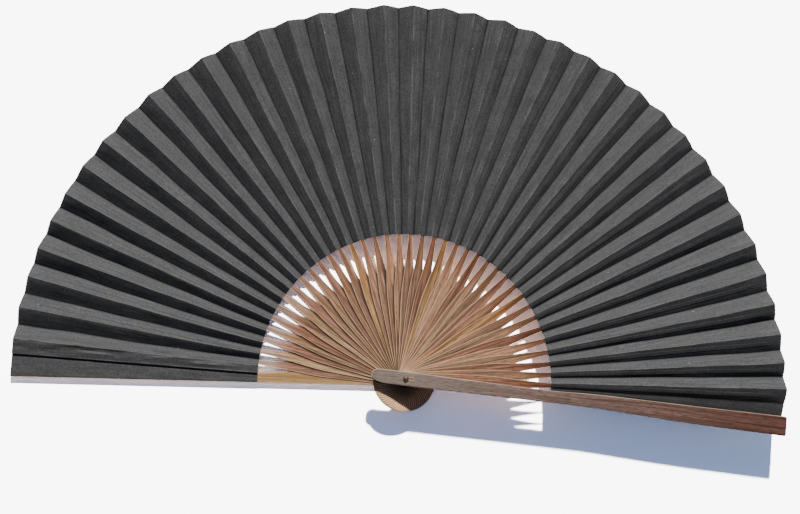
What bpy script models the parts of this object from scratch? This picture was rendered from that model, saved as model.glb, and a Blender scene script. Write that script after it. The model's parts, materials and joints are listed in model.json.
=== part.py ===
"""An open folding fan: thirty-eight thin ribs between two guards, and a pleated leaf of two sheets.

The fan lies on its rear guard. The rivet's axis is +Z through the origin, and z = 0 is the rear
guard's outer face. The rear guard points along -X, and the other sticks follow it clockwise, each
one step higher in the stack, up to the front guard. Lengths are in metres.
"""

import math

import bpy
import numpy as np
from mathutils import Matrix

# The sticks round the rivet
RIB_COUNT = 38
REAR_ANGLE = math.radians(180)
SPREAD = math.radians(185)
STEP = SPREAD / (RIB_COUNT + 1)
FRONT_ANGLE = REAR_ANGLE - SPREAD
# A used fan's sticks aren't evenly spread: how far each leans off its even place, in degrees
STICK_LEAN = (
    (-5, 0),
    (0, -0.4),
    (9, -1.5),
    (18, -1.7),
    (28, -1.3),
    (40, -0.8),
    (60, -0.4),
    (98, -0.5),
    (114, 0.2),
    (132, 0.5),
    (152, 0.75),
    (170, 0.4),
    (180, 0),
)

# The stack along the rivet, bottom to top
GUARD_THICK = 0.0038
RIB_THICK = 0.00036
RIB_PITCH = 0.00052
SEAT_GAP = 0.00015
FIRST_RIB_Z = GUARD_THICK + SEAT_GAP + RIB_PITCH / 2
FRONT_GUARD_Z = GUARD_THICK + 2 * SEAT_GAP + RIB_COUNT * RIB_PITCH
STACK_TOP = FRONT_GUARD_Z + GUARD_THICK

# Lengths along a stick, from the rivet's axis
RIB_HEAD_END = -0.0255
GUARD_HEAD_END = -0.0268
TWIST_START = 0.086
TWIST_END = 0.112
LEAF_INNER = 0.114
LEAF_OUTER = 0.302
SLIP_END = 0.293

# Half widths of a stick
RIB_HEAD_HALF = 0.0053
GUARD_HEAD_HALF = 0.0053
GUARD_END_HALF = 0.00825
RIB_HALF_WIDTHS = (
    (0.030, 0.0054),
    (0.064, 0.0055),
    (0.072, 0.0050),
    (0.080, 0.0041),
    (TWIST_START, 0.0036),
    (0.092, 0.0031),
    (0.099, 0.0027),
    (0.106, 0.0024),
    (TWIST_END, 0.0022),
    (SLIP_END, 0.0015),
)
HEAD_ARC_STEPS = 5
END_CORNER = 0.0015
CORNER_STEPS = 3

# The leaf's pleats
PLEAT_TILT = math.radians(29)
SHEET_THICK = 0.00016
SHEET_OFFSET = 0.0005
RELIEF_DEPTH = 0.0017
RELIEF_START = 0.087
LEAF_SEAT_GAP = 0.0003
EDGE_MARGIN = 0.0004
LEAF_RINGS = (LEAF_INNER, 0.200, LEAF_OUTER)

# The rivet
SHAFT_RADIUS = 0.0012
HOLE_RADIUS = 0.0015
HEAD_RADIUS = 0.00215
HEAD_RIM = 0.0003
DOME_HEIGHT = 0.0011
DOME_STEPS = 4
RIVET_GAP = 0.0002
REAR_HEAD_THICK = 0.0009
REAR_POCKET_RADIUS = 0.0025
REAR_POCKET_DEPTH = 0.0012
ROUND_SIDES = 16
BEVEL = 0.0004

WOOD_TONES = (
    (0.52, 0.31, 0.19),
    (0.40, 0.21, 0.14),
    (0.58, 0.38, 0.22),
    (0.34, 0.17, 0.10),
    (0.47, 0.26, 0.17),
)
FRONT_GUARD_COLOUR = (0.30, 0.17, 0.11)
REAR_GUARD_COLOUR = (0.50, 0.32, 0.16)
PAPER_COLOUR = (0.012, 0.012, 0.014)
RIVET_COLOUR = (0.03, 0.025, 0.022)


def clear_scene():
    for obj in list(bpy.data.objects):
        bpy.data.objects.remove(obj, do_unlink=True)


def new_collection(name):
    made = bpy.data.collections.new(name)
    bpy.context.scene.collection.children.link(made)
    return made


def new_material(name, colour, roughness, metallic=0.0):
    made = bpy.data.materials.new(name)
    made.use_nodes = True
    shader = made.node_tree.nodes["Principled BSDF"]
    shader.inputs["Base Color"].default_value = (*colour, 1)
    shader.inputs["Roughness"].default_value = roughness
    shader.inputs["Metallic"].default_value = metallic
    return made


def new_object(name, data, collection):
    made = bpy.data.objects.new(name, data)
    collection.objects.link(made)
    return made


def finished_mesh(obj, name):
    """The mesh of the object with its modifiers applied. The object itself is removed."""
    graph = bpy.context.evaluated_depsgraph_get()
    mesh = bpy.data.meshes.new_from_object(obj.evaluated_get(graph))
    mesh.name = name
    bpy.data.objects.remove(obj, do_unlink=True)
    return mesh


def add_cut(obj, cutter):
    cut = obj.modifiers.new("cut_" + cutter.name, "BOOLEAN")
    cut.operation = "DIFFERENCE"
    cut.solver = "EXACT"
    cut.object = cutter


def hide_cutter(cutter, collection):
    for old in list(cutter.users_collection):
        old.objects.unlink(cutter)
    collection.objects.link(cutter)
    cutter.hide_render = True
    cutter.display_type = "WIRE"


def round_cutter(name, radius, low, high, collection):
    """A cylinder on the rivet's axis between two heights."""
    bpy.ops.mesh.primitive_cylinder_add(
        vertices=ROUND_SIDES, radius=radius, depth=high - low, location=(0, 0, (low + high) / 2)
    )
    cutter = bpy.context.object
    cutter.name = name
    hide_cutter(cutter, collection)
    return cutter


def box_cutter(name, low, high, collection):
    """A box between two corners."""
    centre = [(a + b) / 2 for a, b in zip(low, high)]
    bpy.ops.mesh.primitive_cube_add(size=1, location=centre)
    cutter = bpy.context.object
    cutter.name = name
    cutter.scale = [b - a for a, b in zip(low, high)]
    bpy.ops.object.transform_apply(location=False, rotation=False, scale=True)
    hide_cutter(cutter, collection)
    return cutter


def stick_angle(number):
    """The angle of a stick: 0 is the front guard and RIB_COUNT + 1 the rear guard."""
    even = math.degrees(FRONT_ANGLE + number * STEP)
    return math.radians(even + float(np.interp(even, *zip(*STICK_LEAN))))


def quarter_gap(number, side):
    """A quarter of the angle from a stick to its neighbour: side is 1 towards the rear guard."""
    return abs(stick_angle(number + side) - stick_angle(number)) / 4


def rib_height(number):
    """The height of a rib's middle. Rib 1 is at the top of the stack, beside the front guard."""
    return FIRST_RIB_Z + (RIB_COUNT - number) * RIB_PITCH


def guard_half_width(along):
    return GUARD_HEAD_HALF + (GUARD_END_HALF - GUARD_HEAD_HALF) * max(0, along) / LEAF_OUTER


def smooth_share(value, low, high):
    """0 below low, 1 above high, and an S curve between them."""
    share = min(1, max(0, (value - low) / (high - low)))
    return share * share * (3 - 2 * share)


def head_arc(end, half_width, steps):
    """(along, half width) round a stick's rounded head, from near its tip to its full width."""
    centre = end + half_width
    for i in range(1, steps + 1):
        turn = math.radians(90) * i / steps
        yield centre - half_width * math.cos(turn), half_width * math.sin(turn)


def rib_mesh(cutters):
    """The blade that all ribs share, along +X: a strip that tapers, then twists to its pleat."""
    stations = list(head_arc(RIB_HEAD_END, RIB_HEAD_HALF, HEAD_ARC_STEPS)) + list(RIB_HALF_WIDTHS)
    points = []
    for along, half in stations:
        tilt = PLEAT_TILT * smooth_share(along, TWIST_START, TWIST_END)
        side, lift = half * math.cos(tilt), half * math.sin(tilt)
        points += [(along, -side, -lift), (along, side, lift)]
    faces = [(i, i + 2, i + 3, i + 1) for i in range(0, len(points) - 2, 2)]
    strip = bpy.data.meshes.new("rib_strip")
    strip.from_pydata(points, [], faces)
    blank = new_object("rib_blank", strip, cutters)
    thick = blank.modifiers.new("thick", "SOLIDIFY")
    thick.thickness = RIB_THICK
    thick.offset = 0
    add_cut(blank, round_cutter("rib_hole", HOLE_RADIUS, -GUARD_THICK, GUARD_THICK, cutters))
    return finished_mesh(blank, "rib_blade")


def add_ribs(parts, cutters):
    mesh = rib_mesh(cutters)
    mesh.materials.append(None)
    for number in range(1, RIB_COUNT + 1):
        name = f"rib_{number:02d}"
        rib = new_object(name, mesh, parts)
        rib.location.z = rib_height(number)
        rib.rotation_euler.z = stick_angle(number)
        rib.material_slots[0].link = "OBJECT"
        tone = WOOD_TONES[number % len(WOOD_TONES)]
        rib.material_slots[0].material = new_material(name + "_wood", tone, 0.45)


def guard_outline():
    """One side of a guard's outline from its head to its outer end, as (along, half width)."""
    yield from head_arc(GUARD_HEAD_END, GUARD_HEAD_HALF, HEAD_ARC_STEPS)
    corner = LEAF_OUTER - END_CORNER
    inner_half = guard_half_width(corner) - END_CORNER
    for i in range(CORNER_STEPS + 1):
        turn = math.radians(90) * i / CORNER_STEPS
        yield corner + END_CORNER * math.sin(turn), inner_half + END_CORNER * math.cos(turn)


def guard_slab(name, parts):
    """A guard's full-thickness slab along +X, standing on z = 0."""
    side = list(guard_outline())
    outline = side + [(x, -y) for x, y in reversed(side)]
    curve = bpy.data.curves.new(name, "CURVE")
    curve.dimensions = "2D"
    curve.fill_mode = "BOTH"
    curve.extrude = GUARD_THICK / 2
    spline = curve.splines.new("POLY")
    spline.points.add(len(outline) - 1)
    for point, (x, y) in zip(spline.points, outline):
        point.co = (x, y, GUARD_THICK / 2, 1)
    spline.use_cyclic_u = True
    drawn = new_object(name + "_drawn", curve, parts)
    bpy.context.view_layer.update()
    mesh = finished_mesh(drawn, name)
    lowest = min(vertex.co.z for vertex in mesh.vertices)
    mesh.transform(Matrix.Translation((0, 0, -lowest)))
    slab = new_object(name, mesh, parts)
    weld = slab.modifiers.new("weld", "WELD")
    weld.merge_threshold = 0.00001
    edge = slab.modifiers.new("edge", "BEVEL")
    edge.width = BEVEL
    edge.segments = 1
    edge.limit_method = "ANGLE"
    edge.angle_limit = math.radians(60)
    return slab


def add_guard(name, angle, height, face_up, colour, parts, cutters):
    """A guard with its relieved inner face up (rear) or down (front), and the rivet's hole."""
    guard = guard_slab(name, parts)
    low = GUARD_THICK - RELIEF_DEPTH if face_up else -RELIEF_DEPTH
    reach = 2 * GUARD_END_HALF
    relief = box_cutter(
        name + "_relief",
        (RELIEF_START, -reach, low),
        (LEAF_OUTER + reach, reach, low + 2 * RELIEF_DEPTH),
        cutters,
    )
    hole = round_cutter(name + "_hole", HOLE_RADIUS, -GUARD_THICK, 2 * GUARD_THICK, cutters)
    for cutter in (relief, hole):
        add_cut(guard, cutter)
        cutter.parent = guard
    guard.location.z = height
    guard.rotation_euler.z = angle
    guard.data.materials.append(new_material(name + "_wood", colour, 0.4))
    return guard


def leaf_lines():
    """The leaf's edges and folds, right to left, as functions of the distance from the axis.

    Each gives (angle, height). A valley and a mountain lie a quarter of the way to the next stick
    each side of a rib, so that every rib lies inside a sloping panel.
    """
    seat = LEAF_SEAT_GAP + SHEET_OFFSET + SHEET_THICK / 2
    front_level = FRONT_GUARD_Z + RELIEF_DEPTH - seat
    rear_level = GUARD_THICK - RELIEF_DEPTH + seat

    def guard_edge(angle, side, level):
        def line(r):
            return angle + side * math.asin((guard_half_width(r) - EDGE_MARGIN) / r), level

        return line

    def level_fold(angle, level):
        return lambda r: (angle, level)

    def rib_fold(number, side):
        quarter = quarter_gap(number, side)

        def line(r):
            rise = r * math.sin(quarter) * math.tan(PLEAT_TILT)
            return stick_angle(number) + side * quarter, rib_height(number) + side * rise

        return line

    front_fold = FRONT_ANGLE + quarter_gap(0, 1)
    rear_fold = REAR_ANGLE - quarter_gap(RIB_COUNT + 1, -1)
    lines = [guard_edge(FRONT_ANGLE, -1, front_level), level_fold(front_fold, front_level)]
    for number in range(1, RIB_COUNT + 1):
        lines += [rib_fold(number, -1), rib_fold(number, 1)]
    lines += [level_fold(rear_fold, rear_level), guard_edge(REAR_ANGLE, 1, rear_level)]
    return lines


def add_sheet(name, offset, colour, parts):
    """One sheet of the leaf, a pleated surface at a fixed height from the leaf's middle."""
    points = []
    for line in leaf_lines():
        for r in LEAF_RINGS:
            angle, height = line(r)
            points.append((r * math.cos(angle), r * math.sin(angle), height + offset))
    rings = len(LEAF_RINGS)
    faces = [
        (a, a + 1, a + rings + 1, a + rings)
        for start in range(0, len(points) - rings, rings)
        for a in range(start, start + rings - 1)
    ]
    mesh = bpy.data.meshes.new(name)
    mesh.from_pydata(points, [], faces)
    sheet = new_object(name, mesh, parts)
    thick = sheet.modifiers.new("thick", "SOLIDIFY")
    thick.thickness = SHEET_THICK
    thick.offset = 0
    thick.use_even_offset = True
    mesh.materials.append(new_material(name + "_paper", colour, 0.35))


def turned(name, profile, colour, parts):
    """A solid turned round the rivet's axis, from a profile that starts and ends on the axis."""
    mesh = bpy.data.meshes.new(name)
    mesh.from_pydata([(r, 0, z) for r, z in profile], [(i, i + 1) for i in range(len(profile) - 1)], [])
    solid = new_object(name, mesh, parts)
    screw = solid.modifiers.new("turn", "SCREW")
    screw.steps = ROUND_SIDES
    screw.render_steps = ROUND_SIDES
    screw.use_merge_vertices = True
    screw.merge_threshold = 0.00001
    mesh.materials.append(new_material(name + "_finish", colour, 0.3))
    return solid


def add_rivet(parts):
    """The pin with its domed front head, and the flat rear head flush in the rear guard."""
    seat = STACK_TOP + RIVET_GAP
    dome_turns = [math.radians(90) * i / DOME_STEPS for i in range(DOME_STEPS + 1)]
    dome = [
        (HEAD_RADIUS * math.sin(turn), seat + HEAD_RIM + DOME_HEIGHT * math.cos(turn))
        for turn in dome_turns
    ]
    bottom = REAR_POCKET_DEPTH
    shaft = [(HEAD_RADIUS, seat), (SHAFT_RADIUS, seat), (SHAFT_RADIUS, bottom), (0, bottom)]
    turned("rivet_pin", dome + shaft, RIVET_COLOUR, parts)
    disc = [(0, REAR_HEAD_THICK), (HEAD_RADIUS, REAR_HEAD_THICK), (HEAD_RADIUS, 0), (0, 0)]
    turned("rear_rivet_head", disc, RIVET_COLOUR, parts)


def main():
    clear_scene()
    parts = new_collection("folding_fan")
    cutters = new_collection("cutters")
    add_guard("front_guard", FRONT_ANGLE, FRONT_GUARD_Z, False, FRONT_GUARD_COLOUR, parts, cutters)
    rear = add_guard("rear_guard", REAR_ANGLE, 0, True, REAR_GUARD_COLOUR, parts, cutters)
    pocket = round_cutter("rear_pocket", REAR_POCKET_RADIUS, -GUARD_THICK, REAR_POCKET_DEPTH, cutters)
    add_cut(rear, pocket)
    add_ribs(parts, cutters)
    add_sheet("leaf_front_sheet", SHEET_OFFSET, PAPER_COLOUR, parts)
    add_sheet("leaf_back_sheet", -SHEET_OFFSET, PAPER_COLOUR, parts)
    add_rivet(parts)


main()
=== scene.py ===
import json
import math
from contextlib import contextmanager

import bmesh
import bpy
import numpy as np
from mathutils import Matrix, Vector, noise


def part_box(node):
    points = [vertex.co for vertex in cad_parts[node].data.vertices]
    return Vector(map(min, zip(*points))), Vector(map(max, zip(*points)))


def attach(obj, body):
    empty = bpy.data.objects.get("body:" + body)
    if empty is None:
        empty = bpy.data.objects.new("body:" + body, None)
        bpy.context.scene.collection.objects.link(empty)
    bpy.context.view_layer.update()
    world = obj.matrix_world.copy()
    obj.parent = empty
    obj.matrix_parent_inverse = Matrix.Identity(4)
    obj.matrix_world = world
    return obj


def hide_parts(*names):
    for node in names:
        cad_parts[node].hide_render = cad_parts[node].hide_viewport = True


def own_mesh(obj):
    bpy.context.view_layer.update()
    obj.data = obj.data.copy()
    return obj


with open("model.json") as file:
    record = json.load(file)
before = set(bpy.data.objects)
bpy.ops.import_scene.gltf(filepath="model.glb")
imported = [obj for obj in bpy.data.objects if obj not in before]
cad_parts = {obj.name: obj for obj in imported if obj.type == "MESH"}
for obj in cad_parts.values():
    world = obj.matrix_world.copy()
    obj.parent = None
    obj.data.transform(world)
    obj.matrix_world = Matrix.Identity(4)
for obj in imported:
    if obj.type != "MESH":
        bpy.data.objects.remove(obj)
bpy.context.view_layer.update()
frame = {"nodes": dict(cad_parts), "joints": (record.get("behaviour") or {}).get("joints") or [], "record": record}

# ---------------------------------------------------------------- what the frame says

NODES = frame["nodes"]
RIBS = sorted(name for name in NODES if name.startswith("rib_"))
COUNT = len(RIBS)
FOLD = next(joint for joint in frame["joints"] if joint["name"] == "fan_fold")
SPREAD = math.radians(FOLD["range_deg"][1])
REAR_ANGLE = math.pi
FRONT_ANGLE = REAR_ANGLE - SPREAD
TURNS = {c["joint"]: c["ratio"] for c in frame["record"]["behaviour"]["couplings"]}
STICKS = [FRONT_ANGLE] + [REAR_ANGLE - SPREAD * TURNS[name + "_turn"] for name in RIBS] + [REAR_ANGLE]


def stick_angle(number):
    """0 is the front guard, COUNT + 1 the rear guard."""
    return STICKS[number]


def quarter_gap(number, side):
    """A quarter of the angle from a stick to its neighbour: side is 1 towards the rear guard."""
    return abs(stick_angle(number + side) - stick_angle(number)) / 4


def middle_height(node):
    low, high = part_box(node)
    return (low.z + high.z) / 2


RIB_Z = [middle_height(name) for name in RIBS]
PITCH = (RIB_Z[0] - RIB_Z[-1]) / (COUNT - 1)
RIB_THICK = 0.7 * PITCH
REAR_LOW, REAR_TOP = (corner.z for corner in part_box("rear_guard"))
GUARD_THICK = REAR_TOP - REAR_LOW
FRONT_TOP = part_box("front_guard")[1].z
FRONT_LOW = FRONT_TOP - GUARD_THICK


def reach_of(node):
    """Least and greatest distance of a node's points from the rivet's axis."""
    reach = [math.hypot(v.co.x, v.co.y) for v in NODES[node].data.vertices]
    return min(reach), max(reach)


LEAF_INNER, LEAF_OUTER = reach_of("leaf_front_sheet")
HEAD_HALF = 0.0053
GUARD_HEAD_END = -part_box("rear_guard")[1].x
RIB_HEAD_END = GUARD_HEAD_END + 0.0013
END_CORNER = 0.0015
PIN_RADIUS = 0.0012
HOLE_RADIUS = 0.0015

# ---------------------------------------------------------------- small helpers


def smooth_share(value, low, high):
    share = min(1.0, max(0.0, (value - low) / (high - low)))
    return share * share * (3 - 2 * share)


def mix(a, b, share):
    return a + (b - a) * share


def wave(x, y=0.0, z=0.0):
    """Smooth noise from -1 to 1, the same each run."""
    return noise.noise(Vector((x, y, z)))


def add_attribute(mesh, name, kind, values):
    attribute = mesh.attributes.new(name, kind, "POINT")
    key = {"FLOAT": "value", "FLOAT_VECTOR": "vector", "FLOAT_COLOR": "color"}[kind]
    attribute.data.foreach_set(key, np.asarray(values, np.float32).ravel())


def new_object(name, mesh):
    made = bpy.data.objects.new(name, mesh)
    bpy.context.scene.collection.objects.link(made)
    return made


@contextmanager
def editing(mesh):
    """The mesh as a bmesh, written back at the end."""
    work = bmesh.new()
    work.from_mesh(mesh)
    yield work
    work.to_mesh(mesh)
    work.free()


def sharpen(mesh, degrees):
    """Smooth shading with crisp folds and crisp open borders."""
    mesh.shade_smooth()
    mesh.set_sharp_from_angle(angle=math.radians(degrees))
    with editing(mesh) as work:
        for edge in work.edges:
            if edge.is_boundary:
                edge.smooth = False


def grid_faces(rows, columns):
    return [
        (a, a + columns, a + columns + 1, a + 1)
        for row in range(rows - 1)
        for a in range(row * columns, row * columns + columns - 1)
    ]


# ---------------------------------------------------------------- node materials


class Shader:
    """A node material with a Principled shader, and short calls that add nodes to it."""

    def __init__(self, name):
        self.material = bpy.data.materials.new(name)
        self.material.use_nodes = True
        self.tree = self.material.node_tree
        self.surface = self.tree.nodes["Principled BSDF"]

    def put(self, socket, value):
        if isinstance(value, bpy.types.NodeSocket):
            self.tree.links.new(value, socket)
        elif isinstance(value, tuple) and len(value) == 3 and socket.type == "RGBA":
            socket.default_value = (*value, 1)
        else:
            socket.default_value = value

    def node(self, kind, inputs=(), **settings):
        made = self.tree.nodes.new(kind)
        for key, value in settings.items():
            setattr(made, key, value)
        for key, value in dict(inputs).items():
            self.put(made.inputs[key], value)
        return made

    def attribute(self, name):
        return self.node("ShaderNodeAttribute", attribute_name=name)

    def parts(self, vector):
        made = self.node("ShaderNodeSeparateXYZ", {0: vector})
        return made.outputs[0], made.outputs[1], made.outputs[2]

    def vector(self, x, y, z):
        return self.node("ShaderNodeCombineXYZ", {0: x, 1: y, 2: z}).outputs[0]

    def math(self, operation, a, b=0.0, c=0.0):
        made = self.node("ShaderNodeMath", {0: a, 1: b, 2: c}, operation=operation)
        return made.outputs[0]

    def ramp(self, value, low, high, start=0.0, end=1.0):
        """value from low..high to start..end, held at both ends."""
        made = self.node("ShaderNodeMapRange", {0: value, 1: low, 2: high, 3: start, 4: end})
        made.interpolation_type = "SMOOTHSTEP"
        return made.outputs[0]

    def noise(self, vector, scale, detail=3.0, roughness=0.5):
        values = {"Vector": vector, "Scale": scale, "Detail": detail, "Roughness": roughness}
        return self.node("ShaderNodeTexNoise", values).outputs["Fac"]

    def stretched(self, place, scales, shift, detail=3.0, roughness=0.5):
        """Noise over a place (along, across) with its own scale in each direction."""
        along, across = (self.math("MULTIPLY", at, scale) for at, scale in zip(place, scales))
        return self.noise(self.vector(along, across, shift), 1.0, detail, roughness)

    def blend(self, share, a, b, mode="MIX"):
        made = self.node("ShaderNodeMix", data_type="RGBA", blend_type=mode)
        self.put(made.inputs[0], share)
        self.put(made.inputs[6], a)
        self.put(made.inputs[7], b)
        return made.outputs[2]

    def bump(self, height, strength, distance, normal=None):
        made = self.node("ShaderNodeBump", {"Height": height, "Strength": strength, "Distance": distance})
        if normal is not None:
            self.put(made.inputs["Normal"], normal)
        return made.outputs[0]

    def finish(self, **inputs):
        for key, value in inputs.items():
            self.put(self.surface.inputs[key.replace("_", " ")], value)
        return self.material


def crack_beside_pin(s, colour, along, across):
    """A short dark crack with a pale rim, running out from the rivet."""
    aside = s.math("ABSOLUTE", s.math("ADD", across, -0.0018))
    near_pin = s.math("MULTIPLY", s.ramp(along, 0.0024, 0.0030), s.ramp(along, 0.0060, 0.0070, 1.0, 0.0))
    pale = s.math("MULTIPLY", s.ramp(aside, 0.0009, 0.0015, 1.0, 0.0), near_pin)
    crack = s.math("MULTIPLY", s.ramp(aside, 0.0003, 0.0006, 1.0, 0.0), near_pin)
    colour = s.blend(s.math("MULTIPLY", pale, 0.7), colour, (0.34, 0.22, 0.14))
    return s.blend(crack, colour, (0.02, 0.010, 0.006))


def aged_and_shaded_wood(s, colour, dark, place, edge, pores):
    """Old wood: grey near the rivet, darker and redder further out, with painted shade along its lower edge."""
    along, across = place
    colour = s.blend(s.ramp(along, 0.0, 0.12, 0.55, 0.0), colour, (0.160, 0.130, 0.108))
    ruddy = s.blend(1.0, colour, (0.60, 0.41, 0.37), "MULTIPLY")
    colour = s.blend(s.ramp(along, 0.10, 0.30), colour, ruddy)
    colour = s.blend(s.math("MULTIPLY", s.ramp(pores, 0.46, 0.62), 0.40), colour, dark)
    colour = crack_beside_pin(s, colour, along, across)
    # Painted shade: the guard's lower edge is darkened as if its side were in shadow.
    below = s.ramp(across, -0.001, 0.001, 1.0, 0.0)
    painted_lower_shade = s.math("MULTIPLY", below, s.ramp(edge, 0.0002, 0.0008, 0.85, 0.0))
    return s.blend(painted_lower_shade, colour, (0.012, 0.006, 0.004)), below


def covered_wood(s, colour, along):
    """A rib's wood: painted paler on the head, and a painted shadow line where the attribute beside says the next
    stick lies.
    """
    # Painted light: the head is made paler, lifting it where the front guard's shadow falls.
    painted_head_light = s.blend(0.7, s.blend(1.0, colour, (2.5, 2.2, 1.9), "MULTIPLY"), (0.62, 0.40, 0.23))
    colour = s.blend(s.ramp(along, -0.019, -0.008, 1.0, 0.0), colour, painted_head_light)
    # Painted shadow: the wood is darkened in a line beside the next stick up, where that stick's shadow would
    # fall.
    painted_shadow_line = s.attribute("beside").outputs["Fac"]
    return s.blend(s.math("MULTIPLY", painted_shadow_line, 0.93), colour, (0.020, 0.009, 0.006))


def wood(name, dark, base, light, figure=1.0, redden=0.0, aged_and_shaded=False, beside=False):
    """Fine straight-grained wood. Its grain follows grain_at: along, across, and the stick's own number.

    figure is how strong the dark grain is, and redden how much redder the wood gets towards the leaf.
    """
    s = Shader(name)
    grain = s.attribute("grain_at").outputs["Vector"]
    along, across, seed = s.parts(grain)
    edge = s.attribute("edge_near").outputs["Fac"]
    shift = s.math("MULTIPLY", seed, 7.31)
    wander = s.stretched((along, across), (14.0, 60.0), shift, 2.0)
    bent = s.math("MULTIPLY_ADD", wander, 0.004, across)
    lines = s.stretched((along, bent), (22.0, 1500.0), shift, 3.0, 0.6)
    bands = s.stretched((along, bent), (9.0, 330.0), shift, 2.0)
    streaks = s.stretched((along, bent), (16.0, 760.0), shift, 2.0)
    blotch = s.stretched((along, across), (45.0, 160.0), shift)
    pores = s.stretched((along, bent), (170.0, 2100.0), shift, 2.0)
    colour = s.blend(s.ramp(bands, 0.32, 0.68), base, light)
    colour = s.blend(s.math("MULTIPLY", s.ramp(streaks, 0.50, 0.70), 0.75 * figure), colour, dark)
    colour = s.blend(s.math("MULTIPLY", s.ramp(lines, 0.44, 0.66), 0.70 * figure), colour, dark)
    colour = s.blend(s.math("MULTIPLY", s.ramp(pores, 0.50, 0.66), 0.60 * figure), colour, dark)
    colour = s.blend(s.ramp(blotch, 0.25, 0.80, 0.0, 0.30), colour, tuple(0.6 * c for c in base))
    tone = s.attribute("tone").outputs["Color"]
    colour = s.blend(1.0, colour, tone, "MULTIPLY")
    if redden:
        near_leaf = s.ramp(along, 0.062, 0.108, 0.0, redden)
        colour = s.blend(near_leaf, colour, s.blend(1.0, colour, (0.80, 0.61, 0.54), "MULTIPLY"))
    pale_edge = s.blend(0.8, colour, (0.46, 0.325, 0.19))
    worn = s.math("MULTIPLY", s.ramp(edge, 0.00010, 0.00055, 1.0, 0.0), s.ramp(blotch, 0.3, 0.6, 0.5, 0.95))
    if aged_and_shaded:
        colour, below = aged_and_shaded_wood(s, colour, dark, (along, across), edge, pores)
        # On the front guard the pale worn edge is kept only on the upper, lit side, where it is also a painted
        # highlight.
        worn = s.math("MULTIPLY", worn, s.math("SUBTRACT", 0.6, s.math("MULTIPLY", below, 0.6)))
    colour = s.blend(worn, colour, pale_edge)
    # Ribs get a painted shadow line beside the next stick and painted light on the head.
    if beside:
        colour = covered_wood(s, colour, along)
    roughness = s.ramp(lines, 0.3, 0.8, 0.42, 0.56)
    height = s.math("MULTIPLY_ADD", pores, -0.6, s.math("MULTIPLY", lines, -0.5))
    normal = s.bump(height, 0.5, 0.00012)
    return s.finish(Base_Color=colour, Roughness=roughness, Normal=normal, Specular_IOR_Level=0.15)


def paper(name):
    """Black lacquered paper. leaf_at is along the fan, across the pleat, and the stick's own number.

    from_peak and from_valley are the distances to the pleat's nearest folds: pale and worn on the
    mountains, and darkened in the valleys with painted shade.
    """
    s = Shader(name)
    place = s.attribute("leaf_at").outputs["Vector"]
    along, across, seed = s.parts(place)
    peak = s.attribute("from_peak").outputs["Fac"]
    shift = s.math("MULTIPLY", seed, 3.17)
    fibres = s.stretched((along, across), (620.0, 620.0), shift, 3.0, 0.6)
    clouds = s.stretched((along, across), (60.0, 160.0), shift)
    streaks = s.stretched((along, across), (26.0, 1100.0), shift, 3.0, 0.6)
    specks = s.stretched((along, across), (420.0, 420.0), s.math("ADD", shift, 40.0), 1.0)
    colour = s.blend(s.ramp(clouds, 0.3, 0.7), (0.034, 0.0338, 0.0340), (0.042, 0.0416, 0.0412))
    colour = s.blend(s.ramp(streaks, 0.48, 0.72, 0.0, 0.50), colour, (0.070, 0.0675, 0.068))
    colour = s.blend(s.ramp(streaks, 0.30, 0.46, 0.45, 0.0), colour, (0.014, 0.014, 0.016))
    colour = s.blend(s.ramp(fibres, 0.42, 0.66, 0.0, 0.55), colour, (0.018, 0.018, 0.018))
    worn = s.math("MULTIPLY", s.ramp(peak, 0.0, 0.0007, 1.0, 0.0), s.ramp(clouds, 0.40, 0.62, 0.10, 1.0))
    colour = s.blend(s.math("MULTIPLY", worn, 0.52), colour, (0.098, 0.096, 0.094))
    # Painted shade: the paper is darkened towards each valley fold, where the crease lies in shade.
    valley = s.ramp(s.attribute("from_valley").outputs["Fac"], 0.0003, 0.0013, 0.78, 0.0)
    valley = s.math("MULTIPLY", valley, s.ramp(streaks, 0.35, 0.65, 1.0, 0.6))
    colour = s.blend(valley, colour, (0.006, 0.006, 0.007))
    colour = s.blend(s.math("MULTIPLY", s.ramp(specks, 0.805, 0.83), 0.6), colour, (0.30, 0.29, 0.27))
    roughness = s.ramp(clouds, 0.3, 0.7, 0.55, 0.68)
    slip = s.ramp(s.math("ABSOLUTE", across), 0.0013, 0.0021, 1.0, 0.0)
    slip = s.math("MULTIPLY", slip, s.ramp(along, 0.288, 0.294, 1.0, 0.0))
    normal = s.bump(slip, 0.55, 0.00025)
    grain = s.math("ADD", fibres, s.math("MULTIPLY", streaks, 0.4))
    normal = s.bump(grain, 0.5, 0.00012, normal)
    return s.finish(Base_Color=colour, Roughness=roughness, Normal=normal, Specular_IOR_Level=0.06)


def horn(name):
    """Dark polished horn, for the rivet."""
    s = Shader(name)
    at = s.node("ShaderNodeTexCoord").outputs["Object"]
    cloud = s.noise(at, 900.0, 3.0)
    colour = s.blend(s.ramp(cloud, 0.3, 0.7), (0.028, 0.014, 0.008), (0.075, 0.040, 0.022))
    scratch = s.noise(at, 5200.0, 2.0)
    roughness = s.ramp(cloud, 0.3, 0.7, 0.30, 0.42)
    normal = s.bump(scratch, 0.25, 0.00005)
    return s.finish(Base_Color=colour, Roughness=roughness, Normal=normal, Specular_IOR_Level=0.22)


# ---------------------------------------------------------------- the ribs

# half a rib's width by distance from the rivet
RIB_PROFILE = (
    (0.0, 0.0053), (0.030, 0.0054), (0.056, 0.0055), (0.064, 0.0054), (0.072, 0.0050), (0.080, 0.0042),
    (0.086, 0.0036), (0.092, 0.0031), (0.099, 0.0027), (0.106, 0.0024), (0.112, 0.0022), (0.118, 0.0021),
)
TWIST_START, TWIST_END = 0.084, 0.112
PLEAT_TILT = math.radians(29)
RIB_END = 0.119
RIB_COLUMNS = 25
# points nearer the axis than this are pushed out to make the hole round
HOLE_REACH = 0.0023


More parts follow.
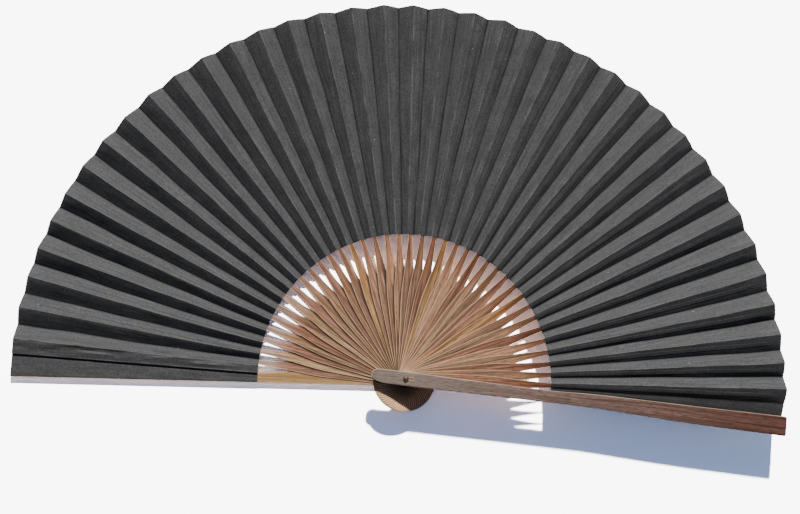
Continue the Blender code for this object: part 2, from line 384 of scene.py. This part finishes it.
def rib_half_width(along):
    """Half the width of a rib's blade, smoothed over the shoulder."""
    xs, ys = zip(*RIB_PROFILE)
    near = [np.interp(along + shift, xs, ys) for shift in np.linspace(-0.004, 0.004, 9)]
    return float(np.mean(near))


def head_stations(end, half, steps):
    """(along, half width) round a rounded head, from its tip."""
    centre = end + half
    for i in range(steps + 1):
        turn = math.radians(90) * (0.06 + 0.94 * i / steps)
        yield centre - half * math.cos(turn), half * math.sin(turn)


def past_cover(x, y, gap):
    """How far a point of a stick lies outside the next stick up, which is turned clockwise by gap."""
    over_x = x * math.cos(gap) - y * math.sin(gap)
    over_y = x * math.sin(gap) + y * math.cos(gap)
    centre = RIB_HEAD_END + HEAD_HALF
    if over_x < centre:
        return math.hypot(over_x - centre, over_y) - HEAD_HALF
    return abs(over_y) - rib_half_width(max(over_x, 0))


def painted_shadow_share(number, x, y):
    """How strong the painted shadow line is beside the next stick up: strongest on the left, and on the heads."""
    past = past_cover(x, y, abs(stick_angle(number) - stick_angle(number - 1)))
    left = smooth_share(math.degrees(stick_angle(number)), 70, 100)
    share = mix(0.14, 1.0, left) if x > 0 else 1.0
    wide = mix(0.0010, 0.0024, smooth_share(x, 0.02, 0.09)) * (0.85 + 0.5 * wave(number * 2.9, x * 30))
    wide = 0.0006 if x < 0 else wide
    share *= 1 - 0.75 * smooth_share(x, 0.094, 0.112)
    return share * (1 - smooth_share(past, 0.3 * wide, 1.3 * wide))


def tip_painted_shade(number, x):
    """How much darker a rib's tip is painted where it slopes into the leaf and catches the sun: painted shade,
    only on the left.
    """
    left = smooth_share(math.degrees(stick_angle(number)), 90, 130)
    return 1 - 0.42 * left * smooth_share(x, 0.096, 0.108)


def rib_stations():
    """(along, half width) from a rib's head to its tip, with rows close together at the hole."""
    stations = list(head_stations(RIB_HEAD_END, HEAD_HALF, 10))
    stations += [(x, HEAD_HALF) for x in np.linspace(stations[-1][0], -0.004, 8)[1:]]
    stations += [(x, HEAD_HALF) for x in np.linspace(-0.0027, 0.0027, 7)]
    stations += [(x, rib_half_width(x)) for x in np.linspace(0.004, RIB_END, 60)]
    return stations


def rib_mesh(number, tone):
    """A rib's middle surface: a blade that tapers, then twists to its pleat, with the rivet's hole."""
    stations = rib_stations()
    middle = RIB_COLUMNS // 2
    points, grain, edge, beside = [], [], [], []
    for along, half in stations:
        tilt = PLEAT_TILT * smooth_share(along, TWIST_START, TWIST_END)
        for column in range(RIB_COLUMNS):
            across = half * (column - middle) / middle
            x, y = along, across
            near = max(abs(x), abs(y))
            if 1e-6 < near < HOLE_REACH:
                x, y = (v * max(HOLE_RADIUS, near) / math.hypot(along, across) for v in (x, y))
            points.append((x, y * math.cos(tilt), y * math.sin(tilt)))
            grain.append((along, across, 1.37 * number))
            edge.append(min(half - abs(across), along - RIB_HEAD_END + 0.0002))
            # The beside attribute holds a painted shadow line: darker where the next stick up would throw its
            # shadow.
            beside.append(painted_shadow_share(number, along, across))
    faces = grid_faces(len(stations), RIB_COLUMNS)
    hole = {i for i, p in enumerate(grain) if max(abs(p[0]), abs(p[1])) < 0.0006}
    faces = [f for f in faces if not hole.intersection(f)]
    mesh = bpy.data.meshes.new(f"rib_{number:02d}_blade")
    mesh.from_pydata(points, [], faces)
    add_attribute(mesh, "grain_at", "FLOAT_VECTOR", grain)
    add_attribute(mesh, "edge_near", "FLOAT", edge)
    add_attribute(mesh, "beside", "FLOAT", beside)
    # The tone attribute carries the rib's own tone times this painted shade on its left-hand tip.
    painted_tip_shades = [tip_painted_shade(number, p[0]) for p in grain]
    add_attribute(mesh, "tone", "FLOAT_COLOR", [(*(shade * c for c in tone), 1) for shade in painted_tip_shades])
    with editing(mesh) as work:
        bmesh.ops.delete(work, geom=[v for v in work.verts if not v.link_faces], context="VERTS")
    sharpen(mesh, 60)
    return mesh


# one letter a rib, from the front guard round to the rear: t tan, p pinkish, r reddish, o orange, d dark
RIB_TONES = "rdrtprdtorpdtrptordptrtpotrpttpttrtptp"
TONES = {
    "t": (1.25, 1.24, 1.18),
    "p": (1.12, 1.02, 1.08),
    "r": (0.95, 0.80, 0.76),
    "o": (1.35, 1.20, 0.86),
    "d": (0.76, 0.70, 0.70),
}


def add_ribs(materials):
    for index, node in enumerate(RIBS):
        number = index + 1
        jitter = 1 + 0.10 * wave(number * 3.3, 1.7)
        tone = tuple(c * jitter for c in TONES[RIB_TONES[index]])
        rib = new_object(f"blade_{number:02d}", rib_mesh(number, tone))
        rib.rotation_euler.z = stick_angle(number)
        rib.location.z = RIB_Z[index]
        slot = "rib_wood_" + ("brown", "red_brown", "light", "dark", "middle")[number % 5]
        rib.data.materials.append(materials[slot])
        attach(rib, node)
        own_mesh(rib)
        group = rib.vertex_groups.new(name="full")
        for vertex in rib.data.vertices:
            thinned = 0.88 * smooth_share(vertex.co.x, LEAF_INNER - 0.007, LEAF_INNER - 0.0005)
            group.add([vertex.index], 1 - thinned, "REPLACE")
        thick = rib.modifiers.new("thick", "SOLIDIFY")
        thick.thickness, thick.offset = RIB_THICK, 0
        thick.vertex_group = "full"
        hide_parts(node)


# ---------------------------------------------------------------- the leaf

PAPER_THICK = 0.00012
PANEL_HALF = 0.0072 / LEAF_OUTER
LEAF_ROWS = 84
FRONT_SEAT = FRONT_LOW - 0.00008
UNDER_SEAT = FRONT_SEAT - 0.00015
REAR_SEAT = REAR_TOP + 0.00008
OVERHANG_RISE = 0.0014
DIP_DEPTH = 0.0030
# where the columns of a strip lie, as shares of the panel's width
RIB_SHARES = (0.0, 0.05, 0.10, 0.18, 0.34, 0.40, 0.58, 0.78, 0.95)
START_SHARES = (0.0, 0.04, 0.10, 0.16, 0.30)
END_SHARES = (0.50, 0.70, 0.84, 0.90, 0.96)


def leaf_lean(angle, share):
    """How far the paper's folds lean off the sticks: back on the right, and at the left's outer end."""
    at = math.degrees(angle)
    right = 0.30 * (1 - smooth_share(at, 50, 105)) * smooth_share(at, -5, 8)
    left = 0.50 * share * smooth_share(at, 150, 172)
    return -math.radians(right + left)


def overhang_edge(r):
    """How far from the rear guard's middle line the last fold before the guard stands over it."""
    return mix(0.0010, 0.0095, (r - LEAF_INNER) / (LEAF_OUTER - LEAF_INNER))


def fold_point(index, r):
    """A fold's point.

    0 is the dip beside the front guard, then come each rib's valley and mountain, and last the fold
    beside the rear guard.
    """
    share = smooth_share(r, LEAF_INNER, LEAF_OUTER)
    if index == 0:
        quarter = quarter_gap(1, -1)
        aside = min(guard_half_width("front_guard", "in", r) + 0.0004, 2.6 * r * math.sin(quarter))
        angle = FRONT_ANGLE + math.asin(aside / r)
        height = RIB_Z[0] - r * math.sin(quarter) * math.tan(PLEAT_TILT) - DIP_DEPTH * share
    elif index == 2 * COUNT + 1:
        angle, height = REAR_ANGLE - math.asin(overhang_edge(r) / r), REAR_SEAT + OVERHANG_RISE
    else:
        number, side = (index + 1) // 2, 1 if index % 2 == 0 else -1
        quarter = quarter_gap(number, side)
        rise = r * math.sin(quarter) * math.tan(PLEAT_TILT)
        angle = stick_angle(number) + side * quarter
        angle += leaf_lean(angle, share)
        angle += 0.20 * quarter * share * wave(index * 5.7, 0.3) + 0.12 * quarter * wave(index * 3.1, r * 25)
        height = RIB_Z[number - 1] + side * rise * (1 + 0.10 * wave(index * 1.9, r * 12))
    out = r + 0.0009 * share * share * wave(index * 2.3, 8.1)
    return np.array((out * math.cos(angle), out * math.sin(angle), height))


def panel_lift(number, is_rib, share, r):
    """How far a panel's surface stands off the plane between its folds: a soft crease across its width."""
    size = r / LEAF_OUTER
    if is_rib:
        crest, rise = 0.37, 0.0009 * (0.75 + 0.6 * wave(number * 4.9, 2.2))
    else:
        crest, rise = 0.10 + 0.06 * (number % 2), 0.0005 * wave(number * 2.7, 6.4)
        rise += 0.0003 * math.sin(math.pi * share)
    tent = share / crest if share < crest else (1 - share) / (1 - crest)
    return size * rise * tent


# half a guard's width in mm by distance from the rivet in mm, on the leaf's side and on the free side
GUARD_SHAPES = {
    "front_guard": {
        "in": ((0, 5.4), (60, 5.0), (113, 4.5), (150, 6.1), (230, 6.4), (302, 7.1)),
        "out": ((0, 5.3), (60, 4.9), (113, 4.6), (150, 4.5), (200, 6.6), (230, 7.5), (302, 8.2)),
    },
    "rear_guard": {
        "in": (
            (0, 5.3), (66, 5.9), (88, 3.6), (106, 1.2), (118, 1.2),
            (150, 1.8), (200, 4.1), (250, 6.6), (302, 7.8),
        ),
        "out": ((0, 5.3), (302, 8.2)),
    },
}


def guard_half_width(guard, side, along):
    """Half a guard's width on one side, in metres, with its corners smoothed."""
    xs, ys = zip(*GUARD_SHAPES[guard][side])
    near = [np.interp(1000 * along + shift, xs, ys) for shift in np.linspace(-12, 12, 9)]
    return float(np.mean(near)) / 1000


def guard_edge(guard, side, r, height):
    """A point just inside a guard's edge."""
    angle, turn = (FRONT_ANGLE, 1) if guard == "front_guard" else (REAR_ANGLE, -1)
    aside = math.asin((guard_half_width(guard, side, r) - 0.0002) / r)
    angle += turn * aside if side == "in" else -turn * aside
    return np.array((r * math.cos(angle), r * math.sin(angle), height))


def strip_lines(number, r):
    """The corner points across a strip at one distance, right to left, and which of them is a mountain."""
    low, high = 2 * number - 1, 2 * number
    if number == 0:
        glued = [guard_edge("front_guard", side, r, FRONT_SEAT) for side in ("out", "in")]
        return glued + [fold_point(0, r), fold_point(1, r)], (1,)
    if number == COUNT + 1:
        turn = REAR_ANGLE - math.asin((overhang_edge(r) + 0.002) / r)
        under = np.array((r * math.cos(turn), r * math.sin(turn), REAR_SEAT))
        edge = guard_edge("rear_guard", "out", r, REAR_SEAT)
        return [fold_point(high - 2, r), fold_point(low, r), under, edge], (1,)
    return [fold_point(low - 1, r), fold_point(low, r), fold_point(high, r), fold_point(high + 1, r)], (2,)


def wrinkle(x, y):
    """The paper's slight unevenness, in metres. It is creased most beside the rear guard."""
    r, angle = math.hypot(x, y), math.degrees(math.atan2(y, x)) % 360
    share = smooth_share(r, LEAF_INNER, LEAF_INNER + 0.03)
    last = smooth_share(angle, 173.5, 176.5) * (1 - smooth_share(angle, 177.5, 178.5))
    even = 0.00020 * wave(x * 90, y * 90) + 0.00010 * wave(x * 310, y * 310, 5.0)
    creased = 0.0011 * wave(x * 38, y * 260, 3.0) + 0.0004 * wave(x * 120, y * 500, 4.0)
    return share * (even * (1 - smooth_share(angle, 178, 179)) + creased * last)


def shut_lines(number):
    """Where a strip's corner lines lie when the fan is shut: (side of the stick, height)."""
    half, z = PANEL_HALF, PITCH
    if number == 0:
        top = RIB_Z[0]
        return [("out", FRONT_SEAT), ("in", FRONT_SEAT), (half, UNDER_SEAT), (-half, top + z / 4)]
    if number == COUNT + 1:
        low = RIB_Z[-1]
        return [(half, low - z / 4), (-half, low - 3 * z / 4), (-half, REAR_SEAT), ("out", REAR_SEAT)]
    mid = RIB_Z[number - 1]
    first = min(mid + 3 * z / 4, UNDER_SEAT)
    return [(half, first), (-half, mid + z / 4), (half, mid - z / 4), (-half, mid - 3 * z / 4)]


def shut_point(number, line, r):
    side, height = shut_lines(number)[line]
    angle = stick_angle(number)
    if isinstance(side, str):
        return guard_edge("rear_guard" if number else "front_guard", side, r, height)
    out, left = (math.cos(angle), math.sin(angle)), (-math.sin(angle), math.cos(angle))
    return np.array((r * out[0] + r * side * left[0], r * out[1] + r * side * left[1], height))


def strip_steps(number):
    """Where a strip's columns lie across it, as (panel, share of the panel's width)."""
    start = [(0, share) for share in END_SHARES]
    end = [(2, share) for share in (*START_SHARES, 0.5)]
    if number == 0:
        return [(0, 0.0), (0, 0.5), (1, 0.0), (1, 0.5)] + end
    if number == COUNT + 1:
        return start + [(1, 0.0), (1, 0.5)] + [(2, share / 8) for share in range(9)]
    return start + [(1, share) for share in RIB_SHARES] + end


def strip_lift(number, panel, share, r):
    """The soft crease of one of a strip's panels. The flat ends glued to the guards have none."""
    if panel == 1 and 0 < number <= COUNT:
        return panel_lift(number, True, share, r)
    if panel == 2 and number <= COUNT:
        return panel_lift(number, False, share, r)
    if panel == 0 and number:
        return panel_lift(number - 1, False, share, r)
    return 0.0


def strip_mesh(number):
    """One pleat of the leaf, from the middle of one joining panel to the middle of the next."""
    rows = [LEAF_INNER + (LEAF_OUTER - LEAF_INNER) * (i / LEAF_ROWS) for i in range(LEAF_ROWS + 1)]
    points, shut, place, peak, valley = [], [], [], [], []
    steps = strip_steps(number)
    for r in rows:
        corners, peaks = strip_lines(number, r)
        shuts = [shut_point(number, i, r) for i in range(len(corners))]
        lengths = [0.0]
        for a, b in zip(corners, corners[1:]):
            lengths.append(lengths[-1] + float(np.linalg.norm(b - a)))
        centre = (lengths[1] + lengths[2]) / 2 if number else lengths[1] + 0.02
        for i, share in steps:
            p = mix(corners[i], corners[i + 1], share)
            lift = wrinkle(p[0], p[1]) + strip_lift(number, i, share, r)
            points.append(p + np.array((0, 0, lift)))
            shut.append(mix(shuts[i], shuts[i + 1], share))
            path = mix(lengths[i], lengths[i + 1], share)
            place.append((r, path - centre, 0.83 * number))
            peak.append(min(abs(path - lengths[k]) for k in peaks))
            valley.append(min(abs(path - lengths[k]) for k in range(len(corners)) if k not in peaks))
    mesh = bpy.data.meshes.new(f"pleat_{number:02d}")
    mesh.from_pydata([tuple(p) for p in points], [], grid_faces(len(rows), len(steps)))
    add_attribute(mesh, "leaf_at", "FLOAT_VECTOR", place)
    add_attribute(mesh, "from_peak", "FLOAT", peak)
    add_attribute(mesh, "from_valley", "FLOAT", valley)
    add_attribute(mesh, "open_at", "FLOAT_VECTOR", points)
    add_attribute(mesh, "shut_at", "FLOAT_VECTOR", shut)
    sharpen(mesh, 24)
    return mesh


def folding_nodes(keep):
    """Folds a pleat up as it flattens: its height says how far the fan is closed."""
    tree = bpy.data.node_groups.new("fold_up", "GeometryNodeTree")
    tree.interface.new_socket("Geometry", in_out="INPUT", socket_type="NodeSocketGeometry")
    tree.interface.new_socket("Open height", in_out="INPUT", socket_type="NodeSocketFloat")
    tree.interface.new_socket("Geometry", in_out="OUTPUT", socket_type="NodeSocketGeometry")

    def node(kind, **settings):
        made = tree.nodes.new(kind)
        for key, value in settings.items():
            setattr(made, key, value)
        return made

    link = tree.links.new
    given, made = node("NodeGroupInput"), node("NodeGroupOutput")
    split = node("ShaderNodeSeparateXYZ")
    link(node("GeometryNodeInputPosition").outputs[0], split.inputs[0])
    span = node("GeometryNodeAttributeStatistic", data_type="FLOAT", domain="POINT")
    link(given.outputs["Geometry"], span.inputs["Geometry"])
    link(split.outputs["Z"], span.inputs[2])
    least = node("ShaderNodeMath", operation="MULTIPLY")
    link(given.outputs["Open height"], least.inputs[0])
    least.inputs[1].default_value = keep
    share = node("ShaderNodeMapRange")
    link(span.outputs["Range"], share.inputs[0])
    link(least.outputs[0], share.inputs[1])
    link(given.outputs["Open height"], share.inputs[2])
    share.inputs[3].default_value, share.inputs[4].default_value = 1, 0
    ends = []
    for name in ("open_at", "shut_at"):
        read = node("GeometryNodeInputNamedAttribute", data_type="FLOAT_VECTOR")
        read.inputs["Name"].default_value = name
        ends.append(read.outputs[0])
    between = node("ShaderNodeMix", data_type="VECTOR")
    link(share.outputs[0], between.inputs[0])
    link(ends[0], between.inputs[4])
    link(ends[1], between.inputs[5])
    put = node("GeometryNodeSetPosition")
    link(given.outputs["Geometry"], put.inputs["Geometry"])
    link(between.outputs[1], put.inputs["Position"])
    link(put.outputs[0], made.inputs[0])
    return tree


def add_leaf(material):
    keep = 0.03
    folding = folding_nodes(keep)
    for number in range(COUNT + 2):
        strip = new_object(f"leaf_{number:02d}", strip_mesh(number))
        strip.data.materials.append(material)
        if number == 0:
            body, z = "front_guard", FRONT_SEAT
        elif number == COUNT + 1:
            body, z = "rear_frame", REAR_SEAT
        else:
            body, z = RIBS[number - 1], RIB_Z[number - 1]
        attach(strip, body)
        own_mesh(strip)
        heights = [v.co.z for v in strip.data.vertices]
        fold = strip.modifiers.new("fold", "NODES")
        fold.node_group = folding
        fold["Socket_1"] = max(heights) - min(heights)
        thick = strip.modifiers.new("thick", "SOLIDIFY")
        thick.thickness, thick.offset = PAPER_THICK, 0
        if number == COUNT + 1:
            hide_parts("leaf_front_sheet", "leaf_back_sheet")


# ---------------------------------------------------------------- the guards and the rivet


def guard_side(guard, side, inset, head_length):
    """Half of a guard's outline moved in by inset, from the head's tip, as (along, half width)."""
    centre = GUARD_HEAD_END + head_length
    for i in range(15):
        turn = math.radians(90) * i / 14
        yield centre - (head_length - inset) * math.cos(turn), (HEAD_HALF - inset) * math.sin(turn)
    for x in np.linspace(centre, LEAF_OUTER - END_CORNER, 60)[1:-1]:
        yield x, guard_half_width(guard, side, x) - inset
    corner = END_CORNER - inset
    cx, cy = LEAF_OUTER - END_CORNER, guard_half_width(guard, side, LEAF_OUTER) - END_CORNER
    for i in range(6):
        turn = math.radians(90) * i / 5
        yield cx + corner * math.sin(turn), cy + corner * math.cos(turn)


def guard_outline(guard, inset):
    """The outline anticlockwise from the head's tip, which curves further on the -y side."""
    sides = ("out", "in") if guard == "front_guard" else ("in", "out")
    low, high = (list(guard_side(guard, side, inset, bend)) for side, bend in zip(sides, (0.0120, HEAD_HALF)))
    return [(x, -y) for x, y in low] + list(reversed(high[1:]))


def guard_mesh(guard, seed):
    """A guard along +X with softened edges, standing on z = 0."""
    soft, inner = 0.0005, 0.0009
    bend = [(soft * (1 - math.sin(a)), soft * (1 - math.cos(a))) for a in np.radians((0, 30, 60, 90))]
    rings = [(inner, 0.0), *bend]
    rings += [(inset, GUARD_THICK - z) for inset, z in reversed(bend)]
    rings += [(inner, GUARD_THICK)]
    points, grain, edge = [], [], []
    for inset, z in rings:
        for x, y in guard_outline(guard, inset):
            points.append((x, y, z))
            grain.append((x, y + 0.35 * z, seed))
            edge.append(inset + 0.4 * min(z, GUARD_THICK - z))
    count = len(points) // len(rings)
    faces = [
        (a + i, a + (i + 1) % count, a + count + (i + 1) % count, a + count + i)
        for a in range(0, len(points) - count, count)
        for i in range(count)
    ]
    faces.append(tuple(reversed(range(count))))
    faces.append(tuple(range(len(points) - count, len(points))))
    mesh = bpy.data.meshes.new(guard + "_wood")
    mesh.from_pydata(points, [], faces)
    add_attribute(mesh, "grain_at", "FLOAT_VECTOR", grain)
    add_attribute(mesh, "edge_near", "FLOAT", edge)
    add_attribute(mesh, "tone", "FLOAT_COLOR", [(1, 1, 1, 1)] * len(points))
    mesh.shade_smooth()
    for face in mesh.polygons:
        face.use_smooth = abs(face.normal.z) < 0.999
    return mesh


def mark_hole(mesh, seed):
    """Gives the new points round the rivet's hole the same pattern as the wood beside them."""
    for vertex in mesh.vertices:
        x, y, z = vertex.co
        if math.hypot(x, y) < 1.1 * HOLE_RADIUS:
            mesh.attributes["grain_at"].data[vertex.index].vector = (x, y + 0.35 * z, seed)
            mesh.attributes["edge_near"].data[vertex.index].value = 0.0009
            mesh.attributes["tone"].data[vertex.index].color = (1, 1, 1, 1)


def add_guards(materials):
    for name, body, angle, z, seed in (
        ("front_guard", "front_guard", FRONT_ANGLE, FRONT_LOW, 23.1),
        ("rear_guard", "rear_frame", REAR_ANGLE, REAR_LOW, 53.2),
    ):
        guard = new_object(name + "_wood", guard_mesh(name, seed))
        guard.rotation_euler.z = angle
        guard.location.z = z
        guard.data.materials.append(materials[name + "_wood"])
        bpy.ops.mesh.primitive_cylinder_add(
            vertices=32, radius=HOLE_RADIUS, depth=4 * GUARD_THICK, location=(0, 0, z)
        )
        cutter = bpy.context.object
        cut = guard.modifiers.new("hole", "BOOLEAN")
        cut.operation, cut.solver, cut.object = "DIFFERENCE", "EXACT", cutter
        bpy.context.view_layer.objects.active = guard
        bpy.ops.object.modifier_apply(modifier="hole")
        bpy.data.objects.remove(cutter)
        mark_hole(guard.data, seed)
        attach(guard, body)
        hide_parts(name)


def turned(name, profile, material):
    """A solid turned round the rivet's axis, from a profile that starts and ends on the axis."""
    sides = 48
    points, faces = [], []
    for r, z in profile:
        for i in range(sides):
            turn = 2 * math.pi * i / sides
            points.append((r * math.cos(turn), r * math.sin(turn), z))
    for a in range(0, len(points) - sides, sides):
        for i in range(sides):
            j = (i + 1) % sides
            faces.append((a + i, a + sides + i, a + sides + j, a + j))
    mesh = bpy.data.meshes.new(name)
    mesh.from_pydata(points, [], faces)
    with editing(mesh) as work:
        bmesh.ops.remove_doubles(work, verts=work.verts, dist=1e-7)
        bmesh.ops.recalc_face_normals(work, faces=work.faces)
    mesh.shade_smooth()
    mesh.set_sharp_from_angle(angle=math.radians(40))
    mesh.materials.append(material)
    return new_object(name, mesh)


def add_rivet(material):
    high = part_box("rivet_pin")[1]
    rear_low, rear_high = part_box("rear_rivet_head")
    radius, seat = high.x, FRONT_TOP + 0.0001
    rim, dome = 0.0003, high.z - FRONT_TOP - 0.0004
    profile = [(0.0, high.z)]
    for i in range(1, 13):
        turn = math.radians(90) * i / 12
        profile.append((radius * math.sin(turn), seat + rim + dome * math.cos(turn)))
    profile += [(radius - 0.00012, seat + 0.00008), (radius - 0.0003, seat)]
    profile += [(PIN_RADIUS, seat), (PIN_RADIUS, rear_high.z - 0.0001), (0.0, rear_high.z - 0.0001)]
    pin = turned("rivet_pin_horn", profile, material)
    soft = 0.00015
    disc = [(0.0, rear_high.z), (radius - soft, rear_high.z), (radius, rear_high.z - soft)]
    disc += [(radius, rear_low.z + soft), (radius - soft, rear_low.z), (0.0, rear_low.z)]
    head = turned("rear_rivet_horn", disc, material)
    for piece, node in ((pin, "rivet_pin"), (head, "rear_rivet_head")):
        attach(piece, "rear_frame")
        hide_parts(node)


# ---------------------------------------------------------------- the finishes


def make_materials():
    made = {
        "front_guard_wood": wood(
            "front_guard_wood", (0.034, 0.018, 0.014), (0.100, 0.061, 0.047), (0.155, 0.105, 0.085),
            aged_and_shaded=True,
        ),
        "rear_guard_wood": wood(
            "rear_guard_wood", (0.11, 0.055, 0.02), (0.255, 0.145, 0.060), (0.33, 0.20, 0.095),
            figure=0.8,
        ),
    }
    for slot, base in (
        ("rib_wood_light", (0.186, 0.112, 0.063)),
        ("rib_wood_brown", (0.164, 0.094, 0.053)),
        ("rib_wood_middle", (0.154, 0.086, 0.051)),
        ("rib_wood_red_brown", (0.147, 0.077, 0.047)),
        ("rib_wood_dark", (0.138, 0.074, 0.045)),
    ):
        dark = tuple(0.20 * c for c in base)
        light = tuple(c * k for c, k in zip(base, (1.95, 2.05, 2.05)))
        made[slot] = wood(slot, dark, base, light, redden=0.7, beside=True)
    return made


# ---------------------------------------------------------------- floor, light and camera


def add_stage():
    """A plain pale floor. Its paint is brighter than a real one, so that it comes out near white."""
    size = 40 * LEAF_OUTER
    corners = [(-size, -size, 0), (size, -size, 0), (size, size, 0), (-size, size, 0)]
    mesh = bpy.data.meshes.new("floor")
    mesh.from_pydata(corners, [], [(0, 1, 2, 3)])
    floor = new_object("floor", mesh)
    floor.location.z = -0.0002
    s = Shader("floor")
    at = s.node("ShaderNodeTexCoord").outputs["Object"]
    cloud = s.noise(at, 3.0, 2.0)
    pale = s.blend(cloud, (3.6, 3.6, 3.63), (3.75, 3.75, 3.78))
    diffuse = s.node("ShaderNodeBsdfDiffuse", {"Color": pale})
    output = s.tree.nodes["Material Output"]
    s.tree.nodes.remove(s.surface)
    s.tree.links.new(diffuse.outputs[0], output.inputs["Surface"])
    mesh.materials.append(s.material)


def add_sun(name, direction, strength, spread, colour):
    light = bpy.data.lights.new(name, "SUN")
    light.energy, light.angle, light.color = strength, math.radians(spread), colour
    sun = new_object(name, light)
    sun.rotation_euler = Vector(direction).to_track_quat("Z", "Y").to_euler()


def add_light():
    """A sun from beyond the top of the leaf, and a faint blue sky."""
    elevation = math.radians(38)
    add_sun("key", (0.05, math.cos(elevation), math.sin(elevation)), 11.4, 2.0, (1.0, 0.985, 0.96))
    world = bpy.data.worlds.new("sky")
    world.use_nodes = True
    sky = world.node_tree.nodes["Background"]
    sky.inputs[0].default_value = (0.42, 0.57, 1.0, 1)
    sky.inputs[1].default_value = 0.18
    bpy.context.scene.world = world


def add_camera():
    """Above the fan, tipped a little towards its handle."""
    distance, lens = 0.9, 50.9
    target = Vector((0, 0.12, 0.012))
    elevation, azimuth, roll = (math.radians(a) for a in (80.44, 28.61, 30.87))
    level = math.cos(elevation)
    away = Vector((-math.sin(azimuth) * level, -math.cos(azimuth) * level, math.sin(elevation)))
    right = (-away).cross(Vector((0, 0, 1))).normalized()
    up = right.cross(-away)
    right, up = (
        math.cos(roll) * right + math.sin(roll) * up,
        -math.sin(roll) * right + math.cos(roll) * up,
    )
    data = bpy.data.cameras.new("camera")
    data.lens, data.sensor_width = lens, 36
    data.shift_x, data.shift_y = -0.0116, -0.0375
    data.clip_start = 0.01
    camera = new_object("camera", data)
    turn = Matrix((right, up, away)).transposed().to_4x4()
    camera.matrix_world = Matrix.Translation(target + distance * away) @ turn
    bpy.context.scene.camera = camera


materials = make_materials()
add_ribs(materials)
add_leaf(paper("leaf_paper"))
add_guards(materials)
add_rivet(horn("rivet_horn"))
add_stage()
add_light()
add_camera()
